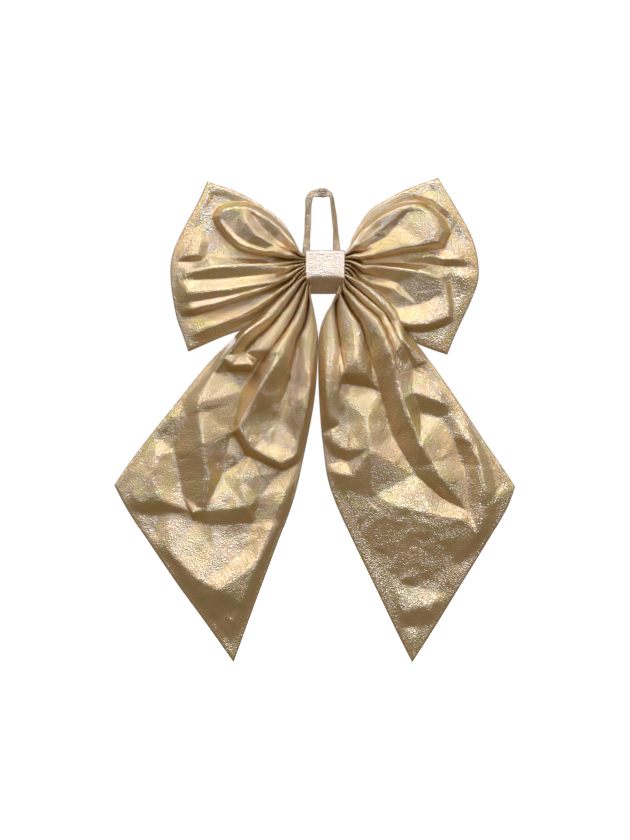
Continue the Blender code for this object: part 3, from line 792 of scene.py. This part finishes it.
def gold_cloth(name, tones, uv=True, film=1.0):
    """Pale gold foil cloth: a metallic film with a fine grain and a faint pink, green and orange play."""
    made, tree, shader = new_material(name)
    if uv:
        place = add_node(tree, "UVMap")
        place.uv_map = "flat_cut"
        vector = place.outputs["UV"]
    else:
        vector = add_node(tree, "TexCoord").outputs["Object"]
    cloud = noise_node(tree, vector, 16, 2.0, 0.5, 1.2)
    colour = ramp_node(tree, cloud, list(zip(TONE_STOPS, tones)))
    tree.links.new(colour, shader.inputs["Base Color"])
    shader.inputs["Metallic"].default_value = 1.0
    shader.inputs["Coat Weight"].default_value = film
    shader.inputs["Coat Roughness"].default_value = 0.13
    shader.inputs["Coat IOR"].default_value = 3.7
    rough = add_node(tree, "MapRange", From_Min=0.3, From_Max=0.7, To_Min=0.40, To_Max=0.50)
    tree.links.new(noise_node(tree, vector, 420, 3.0), rough.inputs["Value"])
    tree.links.new(rough.outputs["Result"], shader.inputs["Roughness"])
    cells = add_node(tree, "TexVoronoi", Scale=900)
    tree.links.new(vector, cells.inputs["Vector"])
    fine = bump_node(tree, cells.outputs["Distance"], 0.00008)
    glints = bump_node(tree, cells.outputs["Distance"], 0.00052)
    crinkle = bump_node(tree, noise_node(tree, vector, 760, 3.0, 0.65, 0.3), 0.00019, fine)
    tree.links.new(crinkle, shader.inputs["Normal"])
    tree.links.new(glints, shader.inputs["Coat Normal"])
    return made


def sewing_thread(name):
    """Twisted gold-brown sewing thread."""
    made, tree, shader = new_material(name)
    vector = add_node(tree, "TexCoord").outputs["Object"]
    twist = noise_node(tree, vector, 900)
    colour = ramp_node(tree, twist, [(0.3, (0.34, 0.24, 0.12)), (0.7, (0.62, 0.47, 0.26))])
    tree.links.new(colour, shader.inputs["Base Color"])
    shader.inputs["Roughness"].default_value = 0.55
    shader.inputs["Sheen Weight"].default_value = 0.3
    tree.links.new(bump_node(tree, noise_node(tree, vector, 2600), 0.0002), shader.inputs["Normal"])
    return made


# ---- the pieces


def make_pouch(name, edges, folds, creases, kind, cloth, thread, seed):
    """A wing or a tail: its two sheets and its seam's thread, and the sheets' first rows, at the knot."""
    front, flat, (width, low, high) = fold_sheet(edges, folds, creases, kind, seed)
    rng = np.random.default_rng(seed + 1)
    near = edge_distance(flat, width)
    u = np.linspace(0, 1, len(flat))[:, None]
    clear = ease(u, *KNOT_CLEAR)
    roll = EDGE_ROLL * np.sqrt(1 - (1 - np.clip(near / ROLL_WIDTH, 0, 1)) ** 2)
    hem = HEM_STEP * (1 - ease(near, HEM_WIDTH, HEM_WIDTH + HEM_SLOPE)) * ease(near, 1.0, ROLL_WIDTH)
    face = normals(front)
    back = front - face * (LAYER_GAP + roll * BACK_ROLL)[..., None]
    puffed = kind["puff"] * clear * ease(near, 0, PUFF_MARGIN)
    back[..., 1] += puffed * (1 + 0.5 * soft_noise(near.shape, PUFF_BUMPS, rng))
    front = front + face * ((roll * FRONT_ROLL + hem) * clear)[..., None]
    made = []
    for side, points in (("front", front), ("back", back)):
        piece = grid_object(f"{name}_{side}_cloth", points, flat, cloth)
        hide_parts(f"{name}_{side}_panel")
        made.append(piece)
    middle, inset = (front + back) / 2, SEAM_INSET
    bottom, far, top = middle[4:-inset, inset], middle[-inset - 1, inset:-inset], middle[4:-inset, -inset - 1]
    route = np.concatenate([bottom, far, top[::-1]])
    stitches = tube_object(f"{name}_seam_stitches", route[::2], THREAD_RADIUS, thread)
    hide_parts(f"{name}_seam_thread")
    made.append(stitches)
    return made, (front[0], back[0])


def folded_strip(route, across, out, half_width, half_thick, around, rng, wrinkle):
    """A strip folded flat lengthwise, its raw edges meeting behind: its points and its flat cut."""
    q = np.linspace(0, 1, around)
    side = np.where((q > 0.25) & (q < 0.75), 1.0, -1.0)
    share = np.interp(q, [0, 0.25, 0.75, 1], [0, -1, 1, 0])
    w, h = half_width[:, None], half_thick[:, None]
    x = w * share
    near = np.clip((w - np.abs(x)) / h, 0, 1)
    lift = side * h * np.sqrt(1 - (1 - near) ** 2)
    rows = len(route)
    length = np.concatenate([[0], np.cumsum(np.linalg.norm(np.diff(route, axis=0), axis=1))])
    for cell, scale in WRINKLE_CELLS:
        bumps = soft_noise((rows, around), (length[-1] / cell, 4 * half_width.mean() / (2.2 * cell)), rng)
        lift = lift + wrinkle * scale * near * side * (0.8 - np.sqrt(bumps**2 + 0.02))
    points = route[:, None] + across[:, None] * x[..., None] + out[:, None] * lift[..., None]
    flat = np.stack([np.broadcast_to(length[:, None], x.shape), q * 4 * half_width.mean() + 0 * x], -1)
    return points, flat, length[-1]


def strip_piece(name, points, flat, cloth, replaced):
    """A folded strip's object, with the model's parts that it replaces hidden."""
    piece = grid_object(name, points, flat, cloth, STRIP_THICK)
    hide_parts(*replaced)
    return piece


def make_band(cloth):
    """The knot band: a folded strip round both bundles, creased under its front and lapped behind."""
    rng = np.random.default_rng(5)
    line = smooth_line(BAND_ROUTE, BAND_ROWS)
    route = np.stack([np.zeros(len(line)), line[:, 0], line[:, 1]], 1)
    ahead = np.gradient(route, axis=0)
    ahead /= np.linalg.norm(ahead, axis=1)[:, None]
    across = np.tile([1.0, 0.0, 0.0], (len(line), 1))
    out = np.cross(ahead, across)
    middle = np.array([0, -15.0, 0])
    out *= np.sign(((route - middle) * out).sum(1))[:, None]
    points, flat, length = folded_strip(
        route, across, out, line[:, 2], line[:, 3], BAND_COLUMNS, rng, BAND_WRINKLE)
    # The crease under the front, a curve that is lowest in the middle.
    bend = -13.6 + 4.2 * (points[..., 0] / 15) ** 2
    low = ease(-points[..., 2], 7.0, 9.0) * ease(-points[..., 1], 8.0, 12.0)
    points[..., 1] -= low * np.exp(-np.abs(points[..., 2] - bend) / 2.2)
    return strip_piece("knot_band_cloth", points, flat, cloth, ["knot_band"])


def make_hanging_loop(cloth):
    """The hanging loop: a narrow folded strip, turned and wrinkled by its folds at the top."""
    rng = np.random.default_rng(8)
    line = smooth_line(LOOP_ROUTE, LOOP_ROWS)
    route = np.stack([line[:, 0], np.full(len(line), LOOP_Y), line[:, 1]], 1)
    ahead = np.gradient(route, axis=0)
    ahead /= np.linalg.norm(ahead, axis=1)[:, None]
    face = np.tile([0.0, -1.0, 0.0], (len(line), 1))
    side = np.cross(ahead, face)
    free = ease(line[:, 1], 15.5, 22.0)
    turn = np.radians(line[:, 3] * free)[:, None]
    across = np.cos(turn) * side + np.sin(turn) * face
    out = np.cos(turn) * face - np.sin(turn) * side
    half_thick = np.full(len(line), LOOP_HALF_THICK)
    points, flat, length = folded_strip(
        route, across, out, line[:, 2], half_thick, LOOP_COLUMNS, rng, LOOP_WRINKLE)
    # Its two ends stay thin where the knot holds them.
    held = 1 - ease(points[..., 2], 14.0, 22.0)
    thin = np.clip(points[..., 1], LOOP_Y - LOOP_END_DEPTH, LOOP_Y + LOOP_END_DEPTH)
    points[..., 1] = points[..., 1] * (1 - held) + held * thin
    return strip_piece("hanging_loop_cloth", points, flat, cloth,
                       ["hanging_loop_strip", "left_loop_end", "right_loop_end"])


def make_bundle(name, left, right, cloth):
    """The pleated cloth inside the band, from one pouch's root to the other's."""
    def evened(row):
        """A root's points, evenly spaced, and its length."""
        along = np.concatenate([[0], np.cumsum(np.linalg.norm(np.diff(row, axis=0), axis=1))])
        at = np.linspace(0, along[-1], BUNDLE_COLUMNS)
        return np.stack([np.interp(at, along, row[:, k]) for k in range(3)], 1), along[-1]

    ends, around = [], 0.0
    for roots in (left, right):
        (front, front_length), (back, back_length) = evened(roots[0]), evened(roots[1])
        ends.append(np.vstack([front, back[::-1]]))
        around += (front_length + back_length) / 2
    share = np.linspace(0, 1, BUNDLE_ROWS)[:, None, None]
    points = ends[0] * (1 - share) + ends[1] * share
    waist = 1 - BUNDLE_WAIST * np.sin(math.pi * share[..., 0])
    for k in (1, 2):
        middle = (points[..., k].max() + points[..., k].min()) / 2
        points[..., k] = middle + (points[..., k] - middle) * waist
    span = float(np.linalg.norm(points[-1] - points[0], axis=-1).mean())
    along, across = np.linspace(0, span, BUNDLE_ROWS), np.linspace(0, around, points.shape[1])
    flat = np.stack(np.meshgrid(along, across, indexing="ij"), -1)
    piece = grid_object(f"{name}_cloth", points, flat, cloth)
    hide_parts(name)
    return piece


def make_stage():
    """A plain pale floor under the bow, and a white surround that only the camera sees."""
    white = bpy.data.materials.new("pale_floor")
    white.use_nodes = True
    shader = white.node_tree.nodes["Principled BSDF"]
    shader.inputs["Base Color"].default_value = (0.9, 0.9, 0.9, 1)
    shader.inputs["Roughness"].default_value = 0.9
    shader.inputs["Emission Color"].default_value = (1, 1, 1, 1)
    shader.inputs["Emission Strength"].default_value = 1.0
    mesh = bpy.data.meshes.new("floor")
    bm = bmesh.new()
    bmesh.ops.create_circle(bm, cap_ends=True, segments=96, radius=14.0)
    bm.to_mesh(mesh)
    bm.free()
    floor = new_object("floor", mesh)
    floor.location.z = -0.9
    mesh.materials.append(white)
    floor.visible_glossy = False
    floor.visible_diffuse = False
    floor.visible_shadow = False


def make_world():
    """Studio surroundings, and plain white behind the bow for the camera alone."""
    world = bpy.data.worlds.new("studio")
    bpy.context.scene.world = world
    world.use_nodes = True
    tree = world.node_tree
    tree.nodes.clear()
    place = add_node(tree, "TexCoord")
    split = add_node(tree, "SeparateXYZ")
    tree.links.new(place.outputs["Generated"], split.inputs["Vector"])
    height = add_node(tree, "MapRange", From_Min=-1.0, From_Max=1.0)
    tree.links.new(split.outputs["Z"], height.inputs["Value"])
    tone = ramp_node(tree, height.outputs["Result"], STUDIO_TONES)
    studio = add_node(tree, "Background", Strength=1.0)
    tree.links.new(tone, studio.inputs["Color"])
    plain = add_node(tree, "Background", Color=(1, 1, 1, 1))
    rays = add_node(tree, "LightPath")
    mix = add_node(tree, "MixShader")
    tree.links.new(rays.outputs["Is Camera Ray"], mix.inputs["Fac"])
    tree.links.new(studio.outputs["Background"], mix.inputs[1])
    tree.links.new(plain.outputs["Background"], mix.inputs[2])
    out = add_node(tree, "OutputWorld")
    tree.links.new(mix.outputs["Shader"], out.inputs["Surface"])


def area_light(name, place, size, power):
    """A softbox that is turned to the bow."""
    data = bpy.data.lights.new(name, "AREA")
    data.shape = "RECTANGLE"
    data.size, data.size_y = size
    data.energy = power
    data.color = LIGHT_COLOUR
    lamp = new_object(name, data)
    lamp.location = place
    lamp.rotation_euler = (Vector(LIGHT_AIM) - Vector(place)).to_track_quat("-Z", "Y").to_euler()


def make_lights():
    """Three softboxes before the bow and one behind it."""
    area_light("softbox_left", (-0.9, -1.5, 0.9), (0.5, 0.7), 8)
    area_light("softbox_right", (1.1, -1.4, 0.6), (0.4, 0.7), 5.6)
    area_light("softbox_back", (-0.5, 1.7, 0.7), (0.9, 0.6), 9)
    area_light("softbox_top", (0.1, -0.9, 1.5), (1.1, 0.35), 10)


def make_camera():
    """A long lens, level with the middle of the frame, straight at the bow's face."""
    data = bpy.data.cameras.new("camera")
    data.sensor_fit = "VERTICAL"
    data.sensor_height = 36.0
    data.lens = 95.0
    frame_height = 0.708
    camera = new_object("camera", data)
    distance = frame_height * data.lens / data.sensor_height
    camera.location = (-0.0085, -distance - 0.012, -0.1275)
    camera.rotation_euler = (math.radians(90), 0, 0)
    data.clip_end = 60
    bpy.context.scene.camera = camera


def main():
    bpy.context.scene.view_settings.view_transform = "Standard"
    make_camera()
    make_world()
    make_lights()
    make_stage()
    cloth = gold_cloth("gold_cloth", GOLD_TONES)
    plain_cloth = gold_cloth("gold_cloth_cad", GOLD_TONES, uv=False)
    thread = sewing_thread("gold_thread")
    for name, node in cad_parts.items():
        node.data.materials.clear()
        sewn = any(word in name for word in ("thread", "tack", "tie"))
        node.data.materials.append(thread if sewn else plain_cloth)
    pouches = [
        ("left_wing", LEFT_WING_EDGES, LEFT_WING_FOLDS, LEFT_WING_CREASES, WING, 11),
        ("right_wing", RIGHT_WING_EDGES, RIGHT_WING_FOLDS, RIGHT_WING_CREASES, WING, 22),
        ("left_tail", LEFT_TAIL_EDGES, LEFT_TAIL_FOLDS, LEFT_TAIL_CREASES, TAIL, 33),
        ("right_tail", RIGHT_TAIL_EDGES, RIGHT_TAIL_FOLDS, RIGHT_TAIL_CREASES, TAIL, 44),
    ]
    roots = {}
    for name, edges, folds, creases, kind, seed in pouches:
        made, roots[name] = make_pouch(name, edges, folds, creases, kind, cloth, thread, seed)
        for piece in made:
            if piece.type == "MESH":
                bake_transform(piece)
            else:
                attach(piece, name)
    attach(make_bundle("wings_gather", roots["left_wing"], roots["right_wing"], cloth), "knot")
    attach(make_bundle("tails_gather", roots["left_tail"], roots["right_tail"], cloth), "knot")
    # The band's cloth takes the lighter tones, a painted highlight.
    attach(make_band(gold_cloth("gold_cloth_band_painted_highlight", BAND_PAINTED_HIGHLIGHT_TONES)), "knot")
    # The loop's cloth takes the darker tones, painted shade.
    loop = make_hanging_loop(gold_cloth("gold_cloth_loop_painted_shade", LOOP_PAINTED_SHADE_TONES, film=0.45))
    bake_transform(loop)


main()
